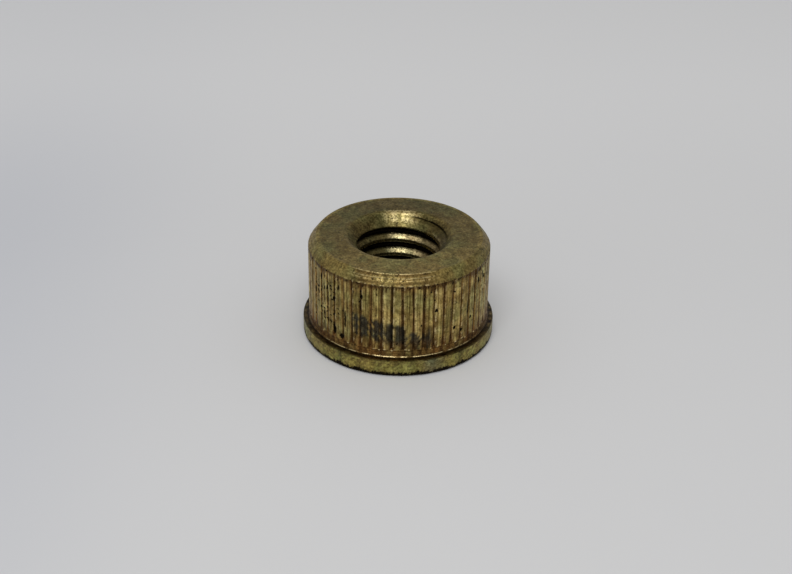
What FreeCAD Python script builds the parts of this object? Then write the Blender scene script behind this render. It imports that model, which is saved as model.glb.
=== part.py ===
import FreeCAD, Part
import math
import os

# Flanged round nut with a straight knurl, turned from one length of brass bar.
# Millimetres. +Z up, origin at the centre of the flange's underside.

# Flange, left at the bar's own diameter
flange_diameter = 19.05
flange_thickness = 1.73
flange_lower_break = 0.28
flange_upper_break = 0.12

# Body above the flange
body_diameter = 17.87
overall_height = 10.46
top_chamfer_radial = 0.77
top_chamfer_axial = 0.99

# Smooth band between the flange and the knurl, with a small bead at its foot
band_height = 0.82
band_depth = 0.05
bead_height = 0.16
bead_width = 0.12

# Straight knurl: V grooves with flat lands between them, the first groove at this angle from +X
knurl_pitch = 1.016
groove_width = 0.30
groove_depth = 0.17
first_groove_angle = -87.1

# Thread, 3/8-16 UNC, right-handed. Its uppermost groove passes the +Y side this far below the top
thread_diameter = 9.525
thread_pitch = 1.5875
thread_angle = 60.0
tap_drill_diameter = 7.94
groove_depth_below_top = 0.315

# Countersinks at the two ends of the hole
countersink_angle = 82.0
top_countersink_diameter = 10.2
bottom_countersink_diameter = 9.9

# How far a cutting tool runs past the surface it breaks through
tool_clearance = 0.5

AXIS = FreeCAD.Vector(0, 0, 1)
ORIGIN = FreeCAD.Vector(0, 0, 0)

flange_radius = flange_diameter / 2
body_radius = body_diameter / 2
band_radius = body_radius - band_depth
knurl_foot = flange_thickness + band_height
chamfer_foot = overall_height - top_chamfer_axial


def revolve(points, angle=360):
    """Turn a closed outline of (radius, height) points about the axis."""
    corners = [FreeCAD.Vector(r, 0, z) for r, z in points]
    face = Part.Face(Part.makePolygon(corners + corners[:1]))
    return face.revolve(ORIGIN, AXIS, angle)


def turned_blank():
    """The outside of the nut before knurling and drilling."""
    return revolve([
        (0, 0),
        (flange_radius - flange_lower_break, 0),
        (flange_radius, flange_lower_break),
        (flange_radius, flange_thickness - flange_upper_break),
        (flange_radius - flange_upper_break, flange_thickness),
        (band_radius + bead_width, flange_thickness),
        (band_radius + bead_width, flange_thickness + bead_height / 2),
        (band_radius, flange_thickness + bead_height),
        (band_radius, knurl_foot - band_depth),
        (body_radius, knurl_foot),
        (body_radius, chamfer_foot),
        (body_radius - top_chamfer_radial, overall_height),
        (0, overall_height),
    ])


def knurl_cutters():
    """One V-section prism for each groove, spaced evenly round the body."""
    count = round(math.pi * body_diameter / knurl_pitch)
    root = body_radius - groove_depth
    outer = body_radius + groove_depth
    half_width = groove_width * (outer - root) / (2 * groove_depth)
    foot = knurl_foot
    section = Part.makePolygon([
        FreeCAD.Vector(root, 0, foot),
        FreeCAD.Vector(outer, half_width, foot),
        FreeCAD.Vector(outer, -half_width, foot),
        FreeCAD.Vector(root, 0, foot),
    ])
    length = overall_height + tool_clearance - foot
    prism = Part.Face(section).extrude(AXIS * length)
    cutters = []
    for index in range(count):
        cutter = prism.copy()
        cutter.rotate(ORIGIN, AXIS, first_groove_angle + 360 * index / count)
        cutters.append(cutter)
    return cutters


def drilled_hole():
    """The tap drill's hole and the countersink at each end, in quarters, so no wall face runs all round."""
    drill_radius = tap_drill_diameter / 2
    slope = math.tan(math.radians(countersink_angle / 2))
    top_radius = top_countersink_diameter / 2
    bottom_radius = bottom_countersink_diameter / 2
    top_depth = (top_radius - drill_radius) / slope
    bottom_depth = (bottom_radius - drill_radius) / slope
    quarter = revolve([
        (0, -tool_clearance),
        (bottom_radius + tool_clearance * slope, -tool_clearance),
        (drill_radius, bottom_depth),
        (drill_radius, overall_height - top_depth),
        (top_radius + tool_clearance * slope, overall_height + tool_clearance),
        (0, overall_height + tool_clearance),
    ], 90)
    quarters = []
    for turn in range(4):
        tool = quarter.copy()
        tool.rotate(ORIGIN, AXIS, 90 * turn)
        quarters.append(tool)
    return quarters


def thread_cutters():
    """Helical tools of thread section, one for each turn, running past both ends of the hole."""
    major = thread_diameter / 2
    inner = tap_drill_diameter / 2 - tool_clearance / 2
    flank = math.tan(math.radians(thread_angle / 2))
    root_half = thread_pitch / 16
    inner_half = root_half + (major - inner) * flank
    # A right-hand groove is a quarter pitch lower on the +X side than on the +Y side
    top = overall_height - groove_depth_below_top - thread_pitch / 4
    turns_below = math.ceil(top / thread_pitch) + 1
    start = top - turns_below * thread_pitch
    helix = Part.makeHelix(thread_pitch, thread_pitch, major)
    helix.translate(AXIS * start)
    section = Part.makePolygon([
        FreeCAD.Vector(inner, 0, start - inner_half),
        FreeCAD.Vector(major, 0, start - root_half),
        FreeCAD.Vector(major, 0, start + root_half),
        FreeCAD.Vector(inner, 0, start + inner_half),
        FreeCAD.Vector(inner, 0, start - inner_half),
    ])
    one_turn = Part.Wire(helix.Edges).makePipeShell([section], True, True)
    cutters = []
    for turn in range(turns_below + 2):
        cutter = one_turn.copy()
        cutter.translate(AXIS * (turn * thread_pitch))
        cutters.append(cutter)
    return cutters


blank = turned_blank().cut(knurl_cutters())
drilled = blank.cut(drilled_hole())
nut = drilled
for cutter in thread_cutters():
    nut = nut.cut(cutter)

if nut.Volume > 0.99 * drilled.Volume:
    raise RuntimeError("the thread was not cut")
if len(nut.Solids) != 1 or not nut.isValid():
    raise RuntimeError("the nut must be one valid solid")
nut = nut.Solids[0]

os.makedirs("parts", exist_ok=True)
nut.exportStep("parts/knurled_nut.step")
print("knurled_nut volume", round(nut.Volume, 2), "box", nut.optimalBoundingBox())
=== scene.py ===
import math

import bmesh
import bpy
import numpy as np
from mathutils import Matrix, Vector


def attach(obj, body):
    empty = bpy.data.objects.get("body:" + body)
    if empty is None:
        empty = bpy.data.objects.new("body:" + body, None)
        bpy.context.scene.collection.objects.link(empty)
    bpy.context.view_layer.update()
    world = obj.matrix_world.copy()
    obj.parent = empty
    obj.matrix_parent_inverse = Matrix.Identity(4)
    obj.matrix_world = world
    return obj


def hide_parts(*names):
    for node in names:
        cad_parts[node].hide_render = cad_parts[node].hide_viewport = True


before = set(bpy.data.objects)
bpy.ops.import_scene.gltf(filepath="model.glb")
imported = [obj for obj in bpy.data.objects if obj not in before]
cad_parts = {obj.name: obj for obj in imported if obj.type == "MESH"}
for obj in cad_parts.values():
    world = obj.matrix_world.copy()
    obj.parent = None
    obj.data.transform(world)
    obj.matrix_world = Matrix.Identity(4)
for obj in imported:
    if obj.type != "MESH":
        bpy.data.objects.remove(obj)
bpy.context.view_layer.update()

MM = 0.001
rng = np.random.default_rng(7)

# ---------------------------------------------------------------- sizes, mm, as in the CAD model
FLANGE_R = 9.525
FLANGE_TOP = 1.73
LOWER_BREAK = 0.28
UPPER_BREAK = 0.12
BODY_R = 8.935
HEIGHT = 10.46
CHAMFER_RADIAL = 0.77
CHAMFER_AXIAL = 0.99
BAND_R = 8.885
BEAD_WIDTH = 0.12
BEAD_TOP = 1.89
KNURL_FOOT = 2.55
CHAMFER_FOOT = HEIGHT - CHAMFER_AXIAL
GROOVES = 55
GROOVE_HALF = 0.15
GROOVE_DEPTH = 0.17
FIRST_GROOVE = math.radians(-87.1)
MAJOR_R = 4.7625
DRILL_R = 3.97
PITCH = 1.5875
TOP_GROOVE_DEPTH = 0.315
SINK_SLOPE = math.tan(math.radians(41))
TOP_SINK_R = 5.1
BOTTOM_SINK_R = 4.95

# Thread form, as shares of the pitch and, for WORN_DEPTH, of the thread's depth
CREST_HALF = 0.1493
ROOT_HALF = 0.0625
WORN_LAND = 0.045
WORN_END = 0.262
WORN_DEPTH = 0.43

# Wear and unevenness that the CAD model leaves out, mm
LIP_LENGTH = 0.42
LIP_DROP = 0.09
LIP_TILT = math.radians(24.5)
TRACK_DEPTH = 0.07
LIP_HEIGHT = 0.022
LAND_WEAR = 0.012
RING_HEIGHT = 0.016
BURR_HEIGHT = 0.06

# ---------------------------------------------------------------- mesh fineness
# Nine columns near each groove and three on the land after it
COLUMNS_PER_GROOVE = 12
COLUMNS = GROOVES * COLUMNS_PER_GROOVE
COARSE = COLUMNS // 3
ROWS_PER_PITCH = 16

# ---------------------------------------------------------------- tarnish colours, linear, with painted highlight and shade colours among them
OLIVE = (0.245, 0.200, 0.076)
OLIVE_DARK = (0.105, 0.088, 0.034)
LAND = (0.425, 0.350, 0.145)
LAND_DARK = (0.200, 0.150, 0.053)
LAND_PALE = (0.520, 0.455, 0.215)
GROOVE = (0.100, 0.059, 0.023)
RUST = (0.200, 0.100, 0.034)
ORANGE = (0.240, 0.140, 0.048)
FOOT = (0.100, 0.053, 0.021)
STAIN = (0.030, 0.030, 0.029)
BEAD = (0.105, 0.066, 0.027)
RIM = (0.320, 0.288, 0.094)
RIM_BROWN = (0.170, 0.130, 0.055)
RIM_SHEEN = (0.190, 0.190, 0.122)
SOOT_AND_SHADOW = (0.014, 0.011, 0.006)
GRIME_AND_SHADE = (0.034, 0.021, 0.008)
ROOT_SHADOW = (0.006, 0.004, 0.002)
SINK_HIGHLIGHT = (0.190, 0.152, 0.062)
CREST = (0.200, 0.170, 0.095)
CREST_HIGHLIGHT = (0.350, 0.300, 0.175)
CREST_LAND = (0.240, 0.205, 0.095)
CHAMFER = (0.185, 0.142, 0.055)
CHAMFER_BROWN = (0.072, 0.048, 0.019)


def smooth(x):
    x = np.clip(x, 0.0, 1.0)
    return x * x * (3 - 2 * x)


def bump_at(x, centre, half):
    """1 at the centre, falling smoothly to 0 at half a width either side."""
    return smooth(1 - np.abs(x - centre) / half)


def ripple(x, low, high, count, seed):
    """A smooth random wave round the axis, about -1 to 1."""
    r = np.random.default_rng(seed)
    out = np.zeros_like(x)
    for n, p in zip(r.integers(low, high, count), r.uniform(0, 2 * math.pi, count)):
        out += np.sin(n * x + p)
    return out / math.sqrt(count)


def drift(x, scale, count, seed):
    """The same along a length in mm, with waves of about the given scale."""
    r = np.random.default_rng(seed)
    out = np.zeros_like(x)
    for n, p in zip(r.uniform(0.5, 2.0, count), r.uniform(0, 2 * math.pi, count)):
        out += np.sin(2 * math.pi * n * x / scale + p)
    return out / math.sqrt(count)


def from_front(theta):
    """Degrees round from the front, positive to the right."""
    return (np.degrees(theta) + 90 + 180) % 360 - 180


def mix(a, b, w):
    """Colours a blended towards b by a weight at each point."""
    return a + (np.asarray(b) - a) * w[..., None]


def plain(colour, like):
    """One colour at every point of a grid."""
    return np.ones(like.shape + (3,)) * np.array(colour)


# ---------------------------------------------------------------- outside: its grid, from the underside up
# Columns crowd round each groove. Each land between two grooves has three more
pitch_angle = 2 * math.pi / GROOVES
near = np.array([0, 0.05, 0.10, 0.16, 0.26])
near = np.concatenate([-near[:0:-1], near]) / BODY_R
on_land = np.array([-0.11, 0, 0.11]) / BODY_R
wobble = rng.normal(0, math.radians(0.22), GROOVES)
centres = FIRST_GROOVE + pitch_angle * np.arange(GROOVES) + wobble
following = np.append(centres[1:], centres[0] + 2 * math.pi)
theta = np.concatenate([np.append(c + near, (c + n) / 2 + on_land) for c, n in zip(centres, following)])
groove_of = np.repeat(np.arange(GROOVES), COLUMNS_PER_GROOVE)
offset = (theta - centres[groove_of]) * BODY_R
from_middle = offset - (following - centres)[groove_of] * BODY_R / 2
land_of = np.where(offset > 0, groove_of, (groove_of - 1) % GROOVES)


def each_groove(draws, of=groove_of):
    """One random value for each groove or land, given to all its columns."""
    return draws[of][None, :]


depth_of = each_groove(rng.uniform(0.45, 1.10, GROOVES))
width_of = each_groove(rng.uniform(0.60, 1.00, GROOVES))
lip_of = each_groove(rng.uniform(0.0, 1.0, GROOVES))
foot_of = each_groove(rng.uniform(-0.12, 0.12, GROOVES))
lean_of = each_groove(rng.normal(0, 0.012, GROOVES))
tone_of = each_groove(rng.uniform(0.0, 1.0, GROOVES), land_of)
second_of = each_groove(rng.uniform(0.0, 1.0, GROOVES))
groove_no = groove_of[None, :]
land_no = land_of[None, :]

rows = []


def row(r, z, zone):
    rows.append((r, z, zone))


for r in (9.0, 9.15):
    row(r, 0.0, "under")
for k in range(5):
    a = (k + 0.5) / 5 * math.pi / 2
    row(FLANGE_R - LOWER_BREAK + LOWER_BREAK * math.sin(a), LOWER_BREAK * (1 - math.cos(a)), "rim")
for z in np.linspace(LOWER_BREAK + 0.06, FLANGE_TOP - UPPER_BREAK - 0.04, 9):
    row(FLANGE_R, z, "rim")
for k in range(4):
    a = (k + 0.5) / 4 * math.pi / 2
    row(FLANGE_R - UPPER_BREAK * (1 - math.cos(a)), FLANGE_TOP - UPPER_BREAK * (1 - math.sin(a)), "rim")
for r in np.linspace(FLANGE_R - UPPER_BREAK - 0.04, BAND_R + BEAD_WIDTH + 0.03, 4):
    row(r, FLANGE_TOP, "ledge")
for k in range(6):
    bulge = 0.15 + 0.85 * math.sin(k / 5 * math.pi)
    row(BAND_R + BEAD_WIDTH * bulge, FLANGE_TOP + 0.01 + (BEAD_TOP - FLANGE_TOP) * k / 5, "bead")
for z in np.linspace(BEAD_TOP + 0.06, KNURL_FOOT - 0.10, 6):
    row(BAND_R, z, "band")
for z in np.linspace(KNURL_FOOT - 0.04, KNURL_FOOT + 0.28, 6):
    row(BODY_R, z, "knurl")
for z in np.linspace(KNURL_FOOT + 0.42, CHAMFER_FOOT - 0.30, 36):
    row(BODY_R, z, "knurl")
for z in np.linspace(CHAMFER_FOOT - 0.22, CHAMFER_FOOT - 0.03, 4):
    row(BODY_R, z, "knurl")
for t in np.linspace(0.0, 1.0, 17):
    row(BODY_R - CHAMFER_RADIAL * t, CHAMFER_FOOT + CHAMFER_AXIAL * t, "chamfer")
for r in (0.06, 0.14, 0.26):
    row(BODY_R - CHAMFER_RADIAL - r, HEIGHT, "top")

zone = np.array([q[2] for q in rows])
ROW = np.repeat(np.arange(len(rows))[:, None], COLUMNS, 1)
R = np.array([q[0] for q in rows])[ROW]
Z = np.array([q[1] for q in rows])[ROW]
T = np.repeat(theta[None, :], len(rows), 0)
F = from_front(T)


def inside(name):
    return zone[ROW] == name


def row_within(name):
    """How many rows past a zone's first row each point is."""
    return ROW - int(np.argmax(zone == name))


on_knurl, on_band, on_bead = inside("knurl"), inside("band"), inside("bead")
on_rim, on_ledge, on_chamfer = inside("rim"), inside("ledge"), inside("chamfer")

# Knurl grooves: V cuts with a small raised lip each side, fading at both ends
shift = lean_of * (Z - 6) + 0.009 * drift(Z + 3 * groove_no, 3.0, 4, 11)
side = np.abs(offset[None, :] + shift)
half = GROOVE_HALF * width_of
start = smooth((Z - KNURL_FOOT - foot_of) / 0.16)
finish = 0.45 + 0.55 * smooth((CHAMFER_FOOT - Z) / 0.30)
strength = depth_of * (1 + 0.15 * drift(Z + 7 * groove_no, 2.2, 5, 12))
cut = np.clip(1 - side / half, 0, 1) ** 0.85 * strength * start * finish
lip = bump_at(side, half + 0.05, 0.09) * lip_of * start
knurled = on_knurl | (on_chamfer & (row_within("chamfer") < 5))
into_chamfer = np.where(on_chamfer, np.clip(1 - row_within("chamfer") / 3.5, 0, 1), 1)
groove = np.where(knurled, cut * into_chamfer, 0)
# A shallow second track runs down the middle of each land, strongest to the left of the front
track = bump_at(from_middle, 0, 0.18)[None, :] * (0.40 + 0.60 * second_of)
track = track * (0.18 + 0.82 * smooth((29 - np.abs(F + 34)) / 12))
track = track * smooth(0.75 + 0.6 * drift(Z + 5 * groove_no, 2.6, 4, 14))
R -= GROOVE_DEPTH * groove
R -= np.where(on_knurl, TRACK_DEPTH * track * start, 0)
R += np.where(on_knurl, LIP_HEIGHT * lip - LAND_WEAR - 0.010 * ripple(T, 90, 240, 10, 13), 0)

# Pits and dents in the lands
dents = np.zeros_like(R)
pits = np.zeros_like(R)


def pit(at, z, across, tall, deep, dark):
    """A dent at an angle from the front and a height, in mm."""
    d = ((F - at + 180) % 360 - 180) * math.pi / 180 * BODY_R
    s = smooth(1 - np.sqrt((d / across) ** 2 + ((Z - z) / tall) ** 2))
    np.maximum(dents, deep * s, out=dents)
    np.maximum(pits, dark * smooth(2.2 * s), out=pits)


# The larger ones, left to right
pit(-43.0, 3.40, 0.34, 0.75, 0.20, 0.85)
pit(-37.3, 2.95, 0.38, 0.42, 0.22, 0.85)
pit(-34.4, 5.0, 0.20, 1.40, 0.12, 0.75)
pit(-23.4, 8.45, 0.18, 0.26, 0.08, 0.8)
pit(-23.0, 7.95, 0.24, 0.34, 0.14, 1.0)
pit(24.0, 6.55, 0.30, 0.28, 0.12, 1.0)
pit(37.3, 4.15, 0.28, 0.26, 0.16, 1.0)
pit(43.0, 3.6, 0.24, 0.20, 0.08, 0.9)
pit(48.5, 5.6, 0.22, 1.60, 0.06, 0.75)
pit(51.6, 4.45, 0.28, 0.28, 0.14, 1.0)
# Two clusters high on the right
for k in range(14):
    pit(rng.normal(65.5, 1.2), rng.normal(8.1, 0.30), 0.22, 0.24, 0.07, rng.uniform(0.45, 0.75))
    pit(rng.normal(59.5, 0.9), rng.normal(8.0, 0.25), 0.18, 0.20, 0.06, rng.uniform(0.45, 0.75))
# Rows of small pits down the grooves on the left and beside them
for centre in centres:
    at = float(from_front(centre))
    if -68 < at < -42:
        for n in range(13):
            z = 3.8 + 0.40 * n
            pit(at + rng.normal(0, 0.3), z + rng.normal(0, 0.08), 0.25, 0.20, 0.08, rng.uniform(0.45, 1.0))
            if rng.uniform() < 0.6:
                beside_at, beside_z = at + 3.2 + rng.normal(0, 0.5), z + 0.1 + rng.normal(0, 0.12)
                pit(beside_at, beside_z, 0.24, 0.20, 0.06, rng.uniform(0.4, 1.0))
# Loose ones, first on the right and then all round
for k in range(40):
    pit(rng.uniform(54, 78), rng.uniform(6.4, 9.2), 0.24, 0.24, 0.06, rng.uniform(0.3, 0.65))
for k in range(420):
    pit(rng.uniform(-180, 180), rng.uniform(2.8, 9.3), 0.12, 0.13, 0.03, rng.uniform(0.3, 0.9))
R -= np.where(on_knurl, dents, 0)
pits = np.where(on_knurl, pits, 0)

# Turned rings on the chamfer, and a slightly wavy edge each side of it
t_ring = np.clip((Z - CHAMFER_FOOT) / CHAMFER_AXIAL, 0, 1)
rings = RING_HEIGHT * np.sin(t_ring * 6.5 * math.pi + 0.6) * smooth(4 * t_ring) * smooth(4 * (1 - t_ring))
waver = t_ring + 0.05 * ripple(T, 1, 4, 3, 21) / 8
rings += RING_HEIGHT / 2 * drift(waver, 0.35, 5, 22) * smooth(5 * t_ring) * smooth(5 * (1 - t_ring))
Z += np.where(on_chamfer, rings * 0.6, 0)
R += np.where(on_chamfer, rings * 0.8 + 0.012 * smooth(1 - np.abs(t_ring - 0.5) * 2), 0)
R += np.where(on_chamfer & (t_ring < 0.08), 0.010 * ripple(T, 30, 90, 8, 23) - 0.012, 0)
Z += np.where(on_chamfer & (t_ring > 0.95), -0.012, 0)

# Flange rim, ledge and bead: small unevenness, and burrs at the feet of some lands
R -= np.where(on_rim, 0.010 + 0.008 * ripple(T, 5, 40, 8, 31) + 0.004 * drift(Z, 0.4, 4, 32), 0)
ragged = 0.035 * np.abs(ripple(T, 40, 160, 12, 33))
Z += np.where(on_rim & (Z < LOWER_BREAK + 0.02) & (Z > 0.01), ragged, 0)
Z -= np.where(on_ledge, 0.010 + 0.006 * ripple(T, 9, 60, 8, 34), 0)
R -= np.where(on_bead, 0.020 * smooth(ripple(T, 12, 60, 8, 35)), 0)
R -= np.where(on_band, 0.006 * drift(Z, 0.25, 4, 36), 0)
burr = smooth(1.6 * (ripple(T, 30, 110, 8, 37) - 0.75)) * bump_at(Z, KNURL_FOOT - 0.03, 0.14)
for at in (-14.6, -8.0, -1.6, 5.0, 6.8, 25.0, 30.8, 43.6):
    burr = np.maximum(burr, bump_at(F, at, 0.9) * bump_at(Z, KNURL_FOOT + 0.06 * (at % 3), 0.15))
R += np.where(on_knurl | on_band, BURR_HEIGHT * burr, 0)

# ---------------------------------------------------------------- colours and finish of the outside
C = plain(LAND, R)
# Wear, with painted highlights and glints carried in it as well
wear_and_sheen = np.zeros_like(R)
rough = np.full_like(R, 0.46)
ring = np.zeros_like(R)


def tint(colours, colour, weight, where):
    """Colours blended towards one colour, in one zone only."""
    return mix(colours, colour, np.where(where, weight, 0))


# Lands, each with a tone of its own
tone = tone_of + 0.25 * drift(Z + 9 * land_no, 3.5, 4, 41)
C = mix(C, LAND_DARK, smooth(1.2 - 1.8 * tone) * 0.60)
C = mix(C, LAND_PALE, smooth(1.8 * tone - 0.9) * 0.70)
C = mix(C, LAND_DARK, smooth(1.3 * ripple(T, 140, 320, 10, 42)) * 0.80)

# A thin line of dirt in each groove, with rust beside it, and a bright lip here and there, worn and partly a
# painted highlight
rusty = 0.60 + 0.40 * smooth(0.4 + ripple(T, 12, 60, 8, 44))
C = tint(C, RUST, bump_at(side, 0.0, half + 0.16) * start * rusty, on_knurl)
C = tint(C, GROOVE, smooth(track * 1.4) * 0.75, on_knurl)
C = tint(C, GROOVE, smooth(groove * 2.0 - 0.15), knurled)
beside = bump_at(offset[None, :] + shift, 0.17, 0.12) * start * smooth((Z - KNURL_FOOT - 0.25) / 0.4)
broken = smooth(0.55 + 0.7 * drift(Z + 4 * groove_no, 1.8, 5, 45))
wear_and_sheen = np.where(on_knurl, 0.95 * beside * lip_of * broken, 0)

# Painted shadow under the chamfer's edge
under_chamfer_shadow = smooth((Z - CHAMFER_FOOT + 0.30 + 0.45 * np.abs(ripple(T, 30, 110, 9, 50))) / 0.22)
C = tint(C, GROOVE, 0.88 * under_chamfer_shadow, on_knurl)

# The blue-black stain across the front of the knurl
blot = 0.75 * ripple(T, 22, 120, 10, 46) + 0.45 * drift(Z + 2.2 * np.sin(7 * T), 1.3, 5, 47)
height_of_stain = 4.75 - 0.028 * (F + 20) - 0.7 * smooth(F / 12)
stained = smooth((29 - np.abs(F + 4)) / 8) * smooth((1.45 - np.abs(Z - height_of_stain)) / 0.8)
stained = np.where(on_knurl, smooth(stained * (1.15 + blot)), 0)
C = mix(C, STAIN, stained * 0.93)
C = tint(C, STAIN, bump_at(F, 19.5, 2.6) * bump_at(Z, 4.3, 1.1) * 0.9, on_knurl)
wear_and_sheen *= 1 - 0.6 * stained

# Darker and redder towards the foot, between the ends of the lands
lower = np.where(on_knurl, smooth((3.9 - Z) / 1.1), 0)
C = mix(C, FOOT, lower * smooth(1.5 * (1 - side / (half + 0.30))))
C = mix(C, FOOT, lower * smooth(1.2 * ripple(T, 60, 200, 10, 56)) * 0.6)
C = mix(C, ORANGE, lower * smooth(0.35 + 0.5 * ripple(T, 10, 70, 8, 48)) * 0.35)

# Band, with the very foot of the knurl
foot = on_band | (on_knurl & (Z < KNURL_FOOT + 0.05))
band_colour = mix(plain(ORANGE, R), LAND, smooth(0.2 + 0.5 * ripple(T, 8, 50, 8, 54)) * 0.45)
band_colour = mix(band_colour, FOOT, smooth(0.30 + 0.8 * ripple(T, 14, 90, 9, 55)) * 0.95)
C[foot] = band_colour[foot]
# Painted shade: the band and the knurl's foot darker away from the front
C = tint(C, FOOT, smooth((np.abs(F) - 34) / 24) * 0.55, foot)
ring[on_band] = 1.0

# Bead: grime and painted shade low down, a painted highlight line along its top at the front
C[on_bead] = BEAD
bead_highlight = smooth(0.85 + 0.65 * ripple(T, 10, 70, 8, 49)) * smooth((66 - np.abs(F)) / 34)
wear_and_sheen = np.where(on_bead, (row_within("bead") == 4) * bead_highlight, wear_and_sheen)
rough[on_bead] = 0.36
bead_foot = on_bead & (row_within("bead") < 3)
C[bead_foot] = GRIME_AND_SHADE
wear_and_sheen[bead_foot] = 0
# Wear, and painted glints, on the burrs at the feet of the lands
wear_and_sheen = np.maximum(wear_and_sheen, 0.85 * smooth(1.5 * burr) * (on_knurl | on_band))

# Ledge: grime and painted shade next to the bead, browner outward
outward = smooth((R - BAND_R - BEAD_WIDTH - 0.05) / 0.25) * (0.45 + 0.4 * ripple(T, 12, 60, 8, 57))
C = np.where(on_ledge[..., None], mix(plain(GRIME_AND_SHADE, R), RIM_BROWN, outward), C)

# Rim, with painted sheen and a bottom edge darkened by soot and painted shadow
swirl = ripple(T + 0.02 * drift(Z, 0.5, 4, 58), 6, 90, 12, 51)
rim_colour = mix(plain(RIM, R), RIM_BROWN, smooth(0.40 + 0.60 * swirl + 0.45 * drift(Z, 0.6, 4, 52)) * 0.75)
# Painted sheen: grey at the front right and round the sides
rim_colour = mix(rim_colour, RIM_SHEEN, bump_at(F, 21, 10) * 0.80)
rim_colour = mix(rim_colour, RIM_SHEEN, smooth((np.abs(F) - 62) / 20) * 0.70)
rim_colour = mix(rim_colour, SOOT_AND_SHADOW, np.maximum(bump_at(F, -35, 1.3), bump_at(F, 39, 1.5)) * 0.6)
# Soot and painted contact shadow along the bottom edge
rim_colour = mix(rim_colour, SOOT_AND_SHADOW, smooth((0.26 - Z) / 0.10))
# Grime and painted shade along the rim's upper edge
rim_colour = mix(rim_colour, GRIME_AND_SHADE, smooth((Z - FLANGE_TOP + 0.16 + 0.5 * ragged) / 0.12) * 0.85)
C = np.where(on_rim[..., None], rim_colour, C)
rough[on_rim] = 0.50
ring[on_rim] = 0.9
C[inside("under")] = OLIVE_DARK

# Chamfer, ringed, with painted highlight lines at the front and painted shade towards the right
facing = smooth((33 - np.abs(F + 4)) / 12)
chamfer_colour = mix(plain(CHAMFER, R), CHAMFER_BROWN, bump_at(t_ring, 0.84, 0.14) * 0.9)
chamfer_colour = mix(chamfer_colour, CHAMFER_BROWN, bump_at(t_ring, 0.22, 0.12) * 0.6)
chamfer_colour = mix(chamfer_colour, OLIVE, 1 - facing)
# Painted shade towards the right
chamfer_colour = mix(chamfer_colour, OLIVE_DARK, smooth((F - 25) / 30) * 0.30)
C = np.where(on_chamfer[..., None], chamfer_colour, C)
C = tint(C, GROOVE, smooth(groove * 2), on_chamfer)
# Painted highlight lines on the rings and both edges, mostly at the front, carried as wear
edge_sheen_and_wear = 1.1 * bump_at(t_ring, 1.0, 0.08)
edge_sheen_and_wear += bump_at(t_ring, 0.02, 0.10) * smooth(0.4 + 0.9 * ripple(T, 20, 90, 8, 59))
edge_sheen_and_wear += 0.8 * bump_at(t_ring, 0.62, 0.06)
edge_sheen_and_wear += 0.5 * bump_at(t_ring, 0.44, 0.06)
edge_sheen_and_wear *= 0.7 * (0.12 + 0.88 * facing) * smooth(0.9 + 0.5 * ripple(T, 8, 50, 10, 53))
wear_and_sheen = np.where(on_chamfer, edge_sheen_and_wear, wear_and_sheen)
rough = np.where(on_chamfer, 0.40 + 0.10 * (1 - facing), rough)
ring[on_chamfer] = 1.0

# The outermost rings of the top face
on_top = inside("top")
C[on_top] = OLIVE
rough[on_top] = 0.50
ring[on_top] = 0.6

# Where dirt gathers, with painted shadow under the chamfer and soot and painted shade low on the rim. The
# material breaks its edges up with noise
# Darker towards the bottom of the rim: soot and painted contact shade
low_rim_soot_and_shade = smooth((1.10 + 0.07 * ripple(T, 8, 50, 8, 38) - Z) / 1.22)
dirt_and_shade = np.maximum(pits, np.where(knurled, 0.42 * smooth(groove * 1.9 - 0.1), 0))
dirt_and_shade = np.maximum(dirt_and_shade, np.where(on_knurl, 0.46 * smooth(1.5 * track), 0))
dirt_and_shade = np.maximum(dirt_and_shade, np.where(on_knurl, 0.46 * under_chamfer_shadow, 0))
dirt_and_shade = np.maximum(dirt_and_shade, np.where(on_rim, low_rim_soot_and_shade, 0))

# ---------------------------------------------------------------- grids of points that make up the mesh
parts = []


def add_grid(r, z, t, colour, wearing_and_sheen, roughness, ringing, pitting_and_shade, strip):
    """Keeps a grid of points with its finish, and gives the number of its first point."""
    first = sum(q["r"].size for q in parts)
    finish = dict(c=colour, wear_and_sheen=wearing_and_sheen, rough=roughness, ring=ringing, pit=pitting_and_shade)
    parts.append(dict(r=r, z=z, t=t, strip=strip, **finish))
    return first


outer_at = add_grid(R, Z, T, C, wear_and_sheen, rough, ring, dirt_and_shade, "outer")

# ---------------------------------------------------------------- flat faces
even = FIRST_GROOVE + 2 * math.pi * np.arange(COARSE) / COARSE
thirds = theta[::3]


def flat_face(radii, z, towards_even):
    """Rings on a flat face. Column angles run from those of the outside to even ones."""
    w = np.clip(towards_even, 0, 1)[:, None]
    t = thirds[None, :] * (1 - w) + even[None, :] * w
    r = np.repeat(np.array(radii)[:, None], COARSE, 1)
    return r, np.full_like(r, z), t


def ease_lip(r, z, along):
    """Rounds the countersink's upper edge: along is the distance from it over the surface."""
    w = np.clip(1 - along / LIP_LENGTH, 0, 1) ** 2
    return r + LIP_DROP * math.sin(LIP_TILT) * w, z - LIP_DROP * math.cos(LIP_TILT) * w


radii = np.concatenate([np.linspace(7.78, 5.66, 10), np.linspace(5.54, TOP_SINK_R, 6)])
r, z, t = flat_face(radii, HEIGHT, np.linspace(0, 1.3, len(radii)))
along = r - TOP_SINK_R
z -= 0.010 * (1 + ripple(t, 2, 7, 5, 61) * 0.5) * smooth(along / 0.5)
r, z = ease_lip(r, z, along)
f = from_front(t)
# Painted shade: the top face darkens away from the front, most of all at the back
top_painted_shade = 0.60 * smooth((np.abs(f - 8) - 25) / 60) + 0.24 * smooth((np.abs(f) - 110) / 60)
colour = mix(plain(OLIVE, r), OLIVE_DARK, top_painted_shade)
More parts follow.
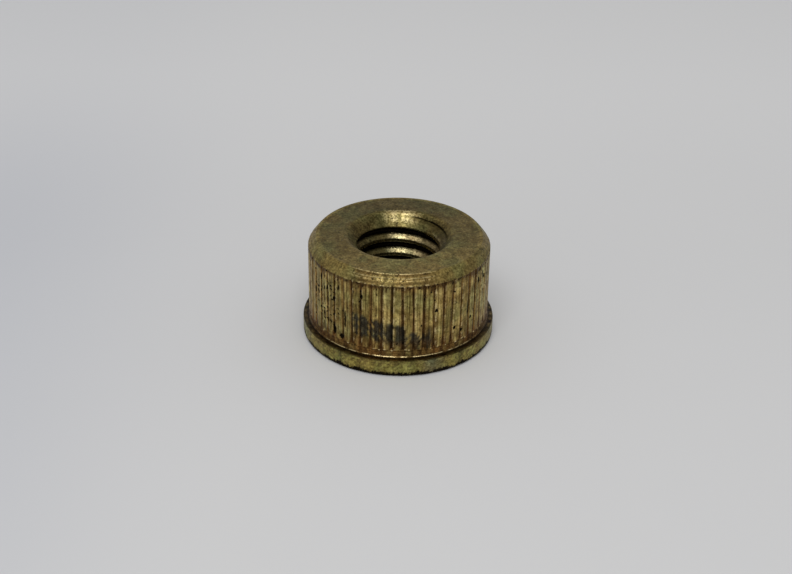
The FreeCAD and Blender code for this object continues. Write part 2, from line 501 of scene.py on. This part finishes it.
# Painted highlight along the countersink's rounded lip at the back, carried as wear
at_back = smooth((24 - np.abs(np.abs(f) - 180)) / 14)
wearing_and_sheen = 0.70 * smooth((0.34 - along) / 0.25) * at_back * smooth(0.8 + 0.4 * ripple(t, 6, 30, 8, 62))
medium = np.full_like(r, 0.5)
top_at = add_grid(r, z, t, colour, wearing_and_sheen, medium, medium, 0 * r, "top")

radii = np.concatenate([[BOTTOM_SINK_R, 4.99, 5.1], np.linspace(5.3, 8.80, 8)])
r, z, t = flat_face(radii, 0.0, np.linspace(1.3, 0, len(radii)))
wearing_and_sheen, roughness, ringing = (np.full_like(r, value) for value in (0.3, 0.5, 0.8))
bottom_at = add_grid(r, z, t, plain(OLIVE, r), wearing_and_sheen, roughness, ringing, 0 * r, "under")

# ---------------------------------------------------------------- hole
# Rows follow the helix and are clipped at both faces. Phase runs over one pitch, from the middle of a crest
# at 0 past the root at 0.5 to the next crest at 1. The crest's upper corner is worn to a slope
corners = (0, WORN_LAND, WORN_END, 0.5 - ROOT_HALF, 0.5 + ROOT_HALF, 1 - CREST_HALF, 1)
corner_rows = (0, 1, 5, 7, 9, 14, 16)
steps = np.interp(np.arange(ROWS_PER_PITCH), corner_rows, corners)
depths = np.interp(steps, corners, (0, 0, WORN_DEPTH, 1, 1, 0, 0))
turns = int(math.ceil(HEIGHT / PITCH)) + 2
turn_of = np.repeat(np.arange(-turns, 2), ROWS_PER_PITCH)
phase = np.tile(steps, turns + 2)
d = np.tile(depths, turns + 2)
s = turn_of - 0.5 + phase
# A groove's centre passes the +Y side at TOP_GROOVE_DEPTH below the top
tt = np.repeat(even[None, :], len(s), 0)
zz = HEIGHT - TOP_GROOVE_DEPTH + PITCH * (s[:, None] + (tt - math.pi / 2) / (2 * math.pi))
keep = (zz.max(1) > -0.15) & (zz.min(1) < HEIGHT + 0.15)
s, d, phase, tt, zz = s[keep], d[keep], phase[keep], tt[keep], zz[keep]
wind = tt + 2 * math.pi * np.floor(s)[:, None]
thread_r = DRILL_R + (MAJOR_R - DRILL_R) * d[:, None] + 0.010 * ripple(wind, 3, 40, 8, 71) * (1 - d[:, None])
zc = np.clip(zz, 0.0, HEIGHT)
cone = np.maximum(TOP_SINK_R - (HEIGHT - zc) * SINK_SLOPE, BOTTOM_SINK_R - zc * SINK_SLOPE)
rr = np.maximum(thread_r, cone)
rr = np.where(zz >= HEIGHT, TOP_SINK_R, np.where(zz <= 0, BOTTOM_SINK_R, rr))
in_sink = np.where((zz >= HEIGHT) | (zz <= 0), 1.0, smooth((cone - thread_r) / 0.03 + 0.5))
along = (HEIGHT - zc) / math.cos(math.atan(SINK_SLOPE))
eased_r, eased_z = ease_lip(rr, zc, along)
rr = rr + (eased_r - rr) * in_sink
zc = zc + (eased_z - zc) * in_sink

# Colours of the thread: a painted highlight on the lit upper flank, brighter at the back, painted shade on
# the left, and roots painted black as shadow
below = np.clip((thread_r - np.maximum(cone, DRILL_R)) / (MAJOR_R - DRILL_R), 0, 1)
phase = np.repeat(phase[:, None], COARSE, 1)
to_right = 180 - from_front(tt) % 360
lit_flank = (phase > WORN_LAND + 0.01) & (phase < 0.5)
crest_highlight = smooth((to_right + 20) / 14) * smooth((42 - to_right) / 14)
crest_highlight = crest_highlight * smooth(0.62 + 0.40 * ripple(tt, 4, 22, 6, 73))
colour = np.where(lit_flank[..., None], plain(CREST, rr), CREST_LAND)
# Painted shade on the left of the hole
colour = mix(colour, OLIVE_DARK, 0.80 * smooth((-8 - to_right) / 16))
colour = mix(colour, CREST_HIGHLIGHT, np.where(lit_flank, crest_highlight, 0.0))
# A painted shadow line at the crest's upper corner, then painted shadow in the roots and on the lower flanks
colour = mix(colour, ROOT_SHADOW, np.where(np.abs(phase - WORN_LAND) < 0.01, 0.80, 0.0))
colour = mix(colour, ROOT_SHADOW, smooth((below - 0.50) / 0.18))
colour = mix(colour, ROOT_SHADOW, np.where((phase > 0.5) & (below > 0.02), 0.9, 0.0))
# Painted highlight carried as wear on the upper flank, with a little wear elsewhere
crest_wear_and_sheen = np.where(lit_flank, 0.42 * crest_highlight, 0.10) * (1 - smooth((below - 0.40) / 0.20))

# Painted highlight on the countersink at the back, painted shade elsewhere, and darker further down
sink_highlight = smooth((to_right + 24) / 10) * smooth((34 - to_right) / 18)
right_side = smooth((to_right - 8) / 14)
sink_painted_light = mix(plain(SINK_HIGHLIGHT, rr), OLIVE_DARK, (1 - sink_highlight) * 0.95)
sink_painted_light = mix(sink_painted_light, OLIVE, (1 - sink_highlight) * smooth((0.22 - along) / 0.20) * 0.35)
sink_painted_light = mix(sink_painted_light, OLIVE_DARK, smooth((along - 1.05) / 0.4) * 0.25)
colour = mix(colour, sink_painted_light, in_sink)
# Painted highlight carried as wear, weaker on the right
sink_wear_and_sheen = 0.46 * sink_highlight * smooth((1.45 - along) / 0.5) * (1 - 0.55 * right_side) + 0.05
sink_wear_and_sheen = sink_wear_and_sheen * smooth(0.80 + 0.35 * ripple(tt, 6, 30, 8, 72))

# Where the first groove breaks out through the countersink it is as dull as the cone, with its upper edge
# painted dark as shadow
breakout = smooth((zc - HEIGHT + 1.25) / 0.15)
dull_and_shadowed = mix(sink_painted_light, ROOT_SHADOW, np.where(phase > 0.44, 0.9, 0.25) * right_side)
colour = mix(colour, dull_and_shadowed, breakout * (1 - in_sink))
crest_wear_and_sheen *= 1 - breakout
wearing_and_sheen = crest_wear_and_sheen * (1 - in_sink) + sink_wear_and_sheen * in_sink
roughness = np.where(in_sink > 0.5, 0.62 - 0.24 * sink_highlight, 0.30)
bore_at = add_grid(rr, zc, tt, colour, wearing_and_sheen, roughness, np.ones_like(rr), 0 * rr, "bore")

# ---------------------------------------------------------------- one closed mesh
verts, colours, wear_and_sheen_values, roughs, ringed, pit_and_shade_values = [], [], [], [], [], []
for q in parts:
    verts.append(np.stack([q["r"] * np.cos(q["t"]), q["r"] * np.sin(q["t"]), q["z"]], -1).reshape(-1, 3) * MM)
    colours.append(q["c"].reshape(-1, 3))
    wear_and_sheen_values.append(q["wear_and_sheen"].ravel())
    roughs.append(q["rough"].ravel())
    ringed.append(q["ring"].ravel())
    pit_and_shade_values.append(q["pit"].ravel())
verts, colours = np.concatenate(verts), np.concatenate(colours)
wear_and_sheen_values, roughs, ringed, pit_and_shade_values = (np.concatenate(a) for a in (wear_and_sheen_values, roughs, ringed, pit_and_shade_values))

faces, face_uv = [], []
# Texture strips: low and high edge of each in v. The outside is cut in two halves round
STRIPS = {"outer": (0.00, 0.46), "bore": (0.47, 0.80), "top": (0.81, 0.92), "under": (0.93, 1.00)}
GAP = 0.004


def add_quads(part, start):
    rows_n, cols = part["r"].shape
    low, high = STRIPS[part["strip"]]
    step = np.hypot(np.diff(part["z"].mean(1)), np.diff(part["r"].mean(1))) + 1e-4
    length = np.append(0, np.cumsum(step))
    v = length / length[-1]
    halves = 2 if part["strip"] == "outer" else 1
    for i in range(rows_n - 1):
        for j in range(cols):
            k = (j + 1) % cols
            here, there = start + i * cols + j, start + i * cols + k
            faces.append((here, there, there + cols, here + cols))
            half_n = j * halves // cols
            u0 = (j * halves - half_n * cols) / cols
            u1 = u0 + halves / cols
            span = (high - low) / halves
            base = low + half_n * span
            v0 = base + v[i] * (span - GAP)
            v1 = base + v[i + 1] * (span - GAP)
            face_uv.append(((u0, v0), (u1, v0), (u1, v1), (u0, v1)))


add_quads(parts[0], outer_at)
add_quads(parts[1], top_at)


def stitch(fine_start, coarse_start, outward, v):
    """Joins a ring of the outside to a ring with a third of its points."""
    for j in range(COARSE):
        k = (j + 1) % COARSE
        fine = [fine_start + (3 * j + n) % COLUMNS for n in range(4)]
        u = [(j + n / 3) / COARSE for n in range(4)]
        loop = fine + [coarse_start + k, coarse_start + j]
        uv = [(x, v) for x in u] + [(u[3], v + 0.006), (u[0], v + 0.006)]
        if not outward:
            loop, uv = loop[::-1], uv[::-1]
        faces.append(tuple(loop))
        face_uv.append(tuple(uv))


stitch(outer_at + (len(rows) - 1) * COLUMNS, top_at, True, 0.803)
last_bottom = bottom_at + (parts[2]["r"].shape[0] - 1) * COARSE
stitch(outer_at, last_bottom, False, 0.923)
add_quads(parts[2], bottom_at)


def add_bore(part, start):
    """The hole's rows climb one pitch in a turn, so the last column joins the row a turn higher."""
    rows_n, cols = part["r"].shape
    low, high = STRIPS["bore"]
    for i in range(rows_n - 1):
        for j in range(cols):
            wrap = j == cols - 1
            other = i + ROWS_PER_PITCH if wrap else i
            if other + 1 >= rows_n:
                continue
            k = 0 if wrap else j + 1
            here, there = start + i * cols + j, start + other * cols + k
            faces.append((here, here + cols, there + cols, there))
            u0, u1 = j / cols, (j + 1) / cols
            v0 = low + (high - low) * i / (rows_n - 1)
            v1 = low + (high - low) * (i + 1) / (rows_n - 1)
            face_uv.append(((u0, v0), (u0, v1), (u1, v1), (u1, v0)))


add_bore(parts[3], bore_at)

mesh = bpy.data.meshes.new("knurled_nut_detail")
mesh.from_pydata([tuple(p) for p in verts], [], faces)
layer = mesh.uv_layers.new(name="OFBake")
flat_uv = np.array([c for f in face_uv for c in f], dtype=np.float32)
layer.data.foreach_set("uv", flat_uv.ravel())
colours = np.concatenate([colours, np.ones((len(colours), 1))], 1)
colour_attr = mesh.attributes.new("tarnish", "FLOAT_COLOR", "POINT")
colour_attr.data.foreach_set("color", colours.astype(np.float32).ravel())
for name, values in (("wear_and_sheen", wear_and_sheen_values), ("rough", roughs), ("ring", ringed), ("pit", pit_and_shade_values)):
    a = mesh.attributes.new(name, "FLOAT", "POINT")
    a.data.foreach_set("value", np.clip(values, 0, 1).astype(np.float32))
nut = bpy.data.objects.new("knurled_nut_detail", mesh)
bpy.context.scene.collection.objects.link(nut)

bm = bmesh.new()
bm.from_mesh(mesh)
bmesh.ops.remove_doubles(bm, verts=bm.verts, dist=1e-7)
bmesh.ops.dissolve_degenerate(bm, edges=bm.edges, dist=1e-7)
bm.to_mesh(mesh)
bm.free()
mesh.polygons.foreach_set("use_smooth", [True] * len(mesh.polygons))
mesh.update()

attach(nut, "root")
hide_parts("knurled_nut")

# ---------------------------------------------------------------- materials


class Nodes:
    """Short calls for building a material's nodes."""

    def __init__(self, name):
        self.material = bpy.data.materials.new(name)
        self.material.use_nodes = True
        self.tree = self.material.node_tree
        self.tree.nodes.clear()

    def add(self, kind, **settings):
        node = self.tree.nodes.new(kind)
        for key, value in settings.items():
            setattr(node, key, value)
        return node

    def put(self, value, socket):
        if isinstance(value, bpy.types.NodeSocket):
            self.tree.links.new(value, socket)
        else:
            socket.default_value = value

    def math(self, operation, a, b=0.0, clamp=False):
        node = self.add("ShaderNodeMath", operation=operation, use_clamp=clamp)
        self.put(a, node.inputs[0])
        self.put(b, node.inputs[1])
        return node.outputs[0]

    def remap(self, value, low, high, to_low=0.0, to_high=1.0):
        """A smooth step from one range to another."""
        node = self.add("ShaderNodeMapRange", interpolation_type="SMOOTHSTEP")
        for socket, v in zip(node.inputs, (value, low, high, to_low, to_high)):
            self.put(v, socket)
        return node.outputs[0]

    def noise(self, vector, scale, detail=4.0, roughness=0.55, distortion=0.0):
        node = self.add("ShaderNodeTexNoise")
        self.put(vector, node.inputs["Vector"])
        node.inputs["Scale"].default_value = scale
        node.inputs["Detail"].default_value = detail
        node.inputs["Roughness"].default_value = roughness
        node.inputs["Distortion"].default_value = distortion
        return node.outputs["Fac"]

    def stretch(self, vector, scale):
        node = self.add("ShaderNodeVectorMath", operation="MULTIPLY")
        self.put(vector, node.inputs[0])
        node.inputs[1].default_value = scale
        return node.outputs[0]

    def blend(self, factor, a, b, kind="MIX"):
        node = self.add("ShaderNodeMix", data_type="RGBA", blend_type=kind)
        self.put(factor, node.inputs[0])
        self.put(a, node.inputs[6])
        self.put(b, node.inputs[7])
        return node.outputs[2]

    def attribute(self, name):
        return self.add("ShaderNodeAttribute", attribute_name=name, attribute_type="GEOMETRY")


def aged_brass():
    n = Nodes("aged_brass")
    place = n.add("ShaderNodeTexCoord").outputs["Object"]
    tarnish = n.attribute("tarnish").outputs["Color"]
    wear_and_sheen_at = n.attribute("wear_and_sheen").outputs["Fac"]
    rough_at = n.attribute("rough").outputs["Fac"]
    ring_at = n.attribute("ring").outputs["Fac"]
    pit_and_shade_at = n.attribute("pit").outputs["Fac"]

    split = n.add("ShaderNodeSeparateXYZ")
    n.put(place, split.inputs[0])
    squares = [n.math("POWER", split.outputs[axis], 2.0) for axis in (0, 1)]
    radius = n.math("SQRT", n.math("ADD", *squares))
    around = n.add("ShaderNodeCombineXYZ")
    n.put(radius, around.inputs[0])
    n.put(split.outputs[2], around.inputs[1])

    cloud = n.noise(place, 420.0, 5.0, 0.6)
    patch = n.noise(place, 1500.0, 5.0, 0.65, 0.4)
    fine = n.noise(place, 4800.0, 4.0, 0.70)
    speck = n.noise(place, 2600.0, 3.0, 0.6)
    upright = n.noise(n.stretch(place, (1.0, 1.0, 0.06)), 4400.0, 4.0, 0.65)
    thread = n.noise(n.stretch(place, (1.0, 1.0, 0.035)), 9500.0, 2.0, 0.6)
    lines = n.noise(around.outputs[0], 9000.0, 3.0, 0.7)

    green = n.blend(n.remap(cloud, 0.38, 0.66), (1.06, 0.97, 0.89, 1), (0.93, 1.02, 0.98, 1))
    colour = n.blend(1.0, tarnish, green, "MULTIPLY")
    shade = n.blend(n.remap(patch, 0.30, 0.70), (0.68, 0.64, 0.58, 1), (1.32, 1.32, 1.27, 1))
    colour = n.blend(1.0, colour, shade, "MULTIPLY")
    grain = n.blend(n.remap(fine, 0.30, 0.70), (0.48, 0.46, 0.42, 1), (1.54, 1.54, 1.50, 1))
    how_grainy = n.math("ADD", n.math("MULTIPLY", ring_at, 0.4), 0.55, clamp=True)
    colour = n.blend(how_grainy, colour, grain, "MULTIPLY")
    streak = n.blend(n.remap(upright, 0.32, 0.68), (0.64, 0.60, 0.54, 1), (1.32, 1.34, 1.33, 1))
    streaked = n.blend(1.0, colour, streak, "MULTIPLY")
    hair = n.blend(n.remap(thread, 0.34, 0.66), (0.66, 0.62, 0.56, 1), (1.26, 1.27, 1.26, 1))
    streaked = n.blend(1.0, streaked, hair, "MULTIPLY")
    colour = n.blend(ring_at, streaked, colour)
    dark_speck = n.remap(speck, 0.64, 0.71)
    colour = n.blend(n.math("MULTIPLY", dark_speck, 0.8), colour, (0.020, 0.015, 0.006, 1))

    # Dirt and painted shade: the attribute plus noise, cut off sharply, so that its edges are ragged
    round_jag = n.math("MULTIPLY", n.noise(place, 5200.0, 3.0, 0.6), 0.5)
    tall_jag = n.math("MULTIPLY", n.noise(n.stretch(place, (1.0, 1.0, 0.3)), 5200.0, 2.0, 0.6), 0.5)
    jag = n.math("MULTIPLY", n.math("SUBTRACT", n.math("ADD", round_jag, tall_jag), 0.5), 1.5)
    filth_and_shade = n.remap(n.math("ADD", pit_and_shade_at, jag), 0.42, 0.66)
    colour = n.blend(filth_and_shade, colour, (0.012, 0.008, 0.004, 1))

    flecks = n.remap(n.math("ADD", fine, n.math("MULTIPLY", wear_and_sheen_at, 0.16)), 0.44, 0.62)
    worn_and_sheen = n.math("MULTIPLY", wear_and_sheen_at, flecks, clamp=True)
    worn_and_sheen = n.math("MULTIPLY", worn_and_sheen, n.math("SUBTRACT", 1.0, n.math("MULTIPLY", dark_speck, 0.9)))
    worn_and_sheen = n.math("MULTIPLY", worn_and_sheen, n.math("SUBTRACT", 1.0, filth_and_shade))
    # Bright brass where worn, and where highlights are painted through the wear attribute
    colour = n.blend(worn_and_sheen, colour, (0.80, 0.65, 0.33, 1))

    rough = n.math("ADD", rough_at, n.remap(patch, 0.3, 0.7, 0.06, -0.06))
    rough = n.math("SUBTRACT", rough, n.math("MULTIPLY", worn_and_sheen, 0.13), clamp=True)
    rough = n.math("ADD", rough, n.math("MULTIPLY", filth_and_shade, 0.3), clamp=True)

    ringed_height = n.math("MULTIPLY", n.math("SUBTRACT", lines, 0.5), ring_at)
    height = n.math("ADD", n.math("MULTIPLY", ringed_height, 0.9), n.math("MULTIPLY", fine, 0.8))
    height = n.math("ADD", height, n.math("MULTIPLY", patch, 0.7))
    height = n.math("SUBTRACT", height, n.math("MULTIPLY", dark_speck, 0.8))
    height = n.math("SUBTRACT", height, n.math("MULTIPLY", filth_and_shade, 0.6))
    bump = n.add("ShaderNodeBump")
    bump.inputs["Strength"].default_value = 0.45
    bump.inputs["Distance"].default_value = 0.00006
    n.put(height, bump.inputs["Height"])

    shader = n.add("ShaderNodeBsdfPrincipled")
    n.put(colour, shader.inputs["Base Color"])
    n.put(rough, shader.inputs["Roughness"])
    shader.inputs["Metallic"].default_value = 0.98
    n.put(bump.outputs[0], shader.inputs["Normal"])
    out = n.add("ShaderNodeOutputMaterial")
    n.put(shader.outputs[0], out.inputs[0])
    return n.material


def pale_floor():
    n = Nodes("pale_floor")
    place = n.add("ShaderNodeTexCoord").outputs["Object"]
    split = n.add("ShaderNodeSeparateXYZ")
    n.put(place, split.inputs[0])
    # Painted shade, cooler in tone, to the left, and painted light behind
    colour = n.blend(n.noise(place, 30.0, 3.0), (0.690, 0.690, 0.694, 1), (0.712, 0.712, 0.716, 1))
    colour = n.blend(n.remap(split.outputs[0], -0.012, -0.050), colour, (0.605, 0.616, 0.650, 1))
    colour = n.blend(n.remap(split.outputs[1], 0.015, 0.075, 0.0, 0.7), colour, (0.780, 0.780, 0.785, 1))
    shader = n.add("ShaderNodeBsdfPrincipled")
    n.put(colour, shader.inputs["Base Color"])
    shader.inputs["Roughness"].default_value = 0.9
    shader.inputs["Specular IOR Level"].default_value = 0.2
    out = n.add("ShaderNodeOutputMaterial")
    n.put(shader.outputs[0], out.inputs[0])
    return n.material


mesh.materials.append(aged_brass())

# ---------------------------------------------------------------- stage, light and camera
FLOOR_SIZE = 3.0
FLOOR_Z = -0.00002
h = FLOOR_SIZE / 2
floor_corners = [(-h, -h, FLOOR_Z), (h, -h, FLOOR_Z), (h, h, FLOOR_Z), (-h, h, FLOOR_Z)]
floor_mesh = bpy.data.meshes.new("floor")
floor_mesh.from_pydata(floor_corners, [], [(0, 1, 2, 3)])
floor_mesh.materials.append(pale_floor())
floor = bpy.data.objects.new("floor", floor_mesh)
bpy.context.scene.collection.objects.link(floor)

world = bpy.data.worlds.new("studio")
world.use_nodes = True
world.node_tree.nodes["Background"].inputs["Color"].default_value = (1.0, 1.0, 1.0, 1)
world.node_tree.nodes["Background"].inputs["Strength"].default_value = 0.50
bpy.context.scene.world = world
bpy.context.scene.view_settings.view_transform = "Standard"


def area_light(name, azimuth, elevation, distance, width, height, radiance):
    """A soft rectangular light aimed at the nut. Azimuth 0 is the camera's side, positive to the right."""
    data = bpy.data.lights.new(name, "AREA")
    data.shape = "RECTANGLE"
    data.size = width
    data.size_y = height
    data.energy = radiance * math.pi * width * height
    a, e = math.radians(azimuth), math.radians(elevation)
    light = bpy.data.objects.new(name, data)
    light.location = Vector((math.sin(a) * math.cos(e), -math.cos(a) * math.cos(e), math.sin(e))) * distance
    light.rotation_euler = (-light.location).to_track_quat("-Z", "Y").to_euler()
    bpy.context.scene.collection.objects.link(light)


area_light("key", -8, 54, 0.40, 0.22, 0.16, 4.5)
area_light("top", 0, 82, 0.45, 0.22, 0.18, 1.2)

# Metres and radians. The last three are small turns away from facing the origin
CAMERA_DISTANCE = 0.14277
CAMERA_ELEVATION = math.radians(30.88)
CAMERA_YAW = 0.00184
CAMERA_PITCH = 0.02741
CAMERA_ROLL = -0.01748
data = bpy.data.cameras.new("camera")
data.sensor_width = 36.0
data.lens = 64.01
data.clip_start = 0.01
camera = bpy.data.objects.new("camera", data)
bpy.context.scene.collection.objects.link(camera)
place = Vector((0, -math.cos(CAMERA_ELEVATION), math.sin(CAMERA_ELEVATION))) * CAMERA_DISTANCE
ahead = -place.normalized()
right = Vector((1, 0, 0))
up = right.cross(ahead)
turn = Matrix.Rotation(CAMERA_YAW, 3, up)
ahead, right = turn @ ahead, turn @ right
turn = Matrix.Rotation(CAMERA_PITCH, 3, right)
ahead, up = turn @ ahead, turn @ up
turn = Matrix.Rotation(CAMERA_ROLL, 3, ahead)
right, up = turn @ right, turn @ up
camera.matrix_world = Matrix.Translation(place) @ Matrix((right, up, -ahead)).transposed().to_4x4()
bpy.context.scene.camera = camera
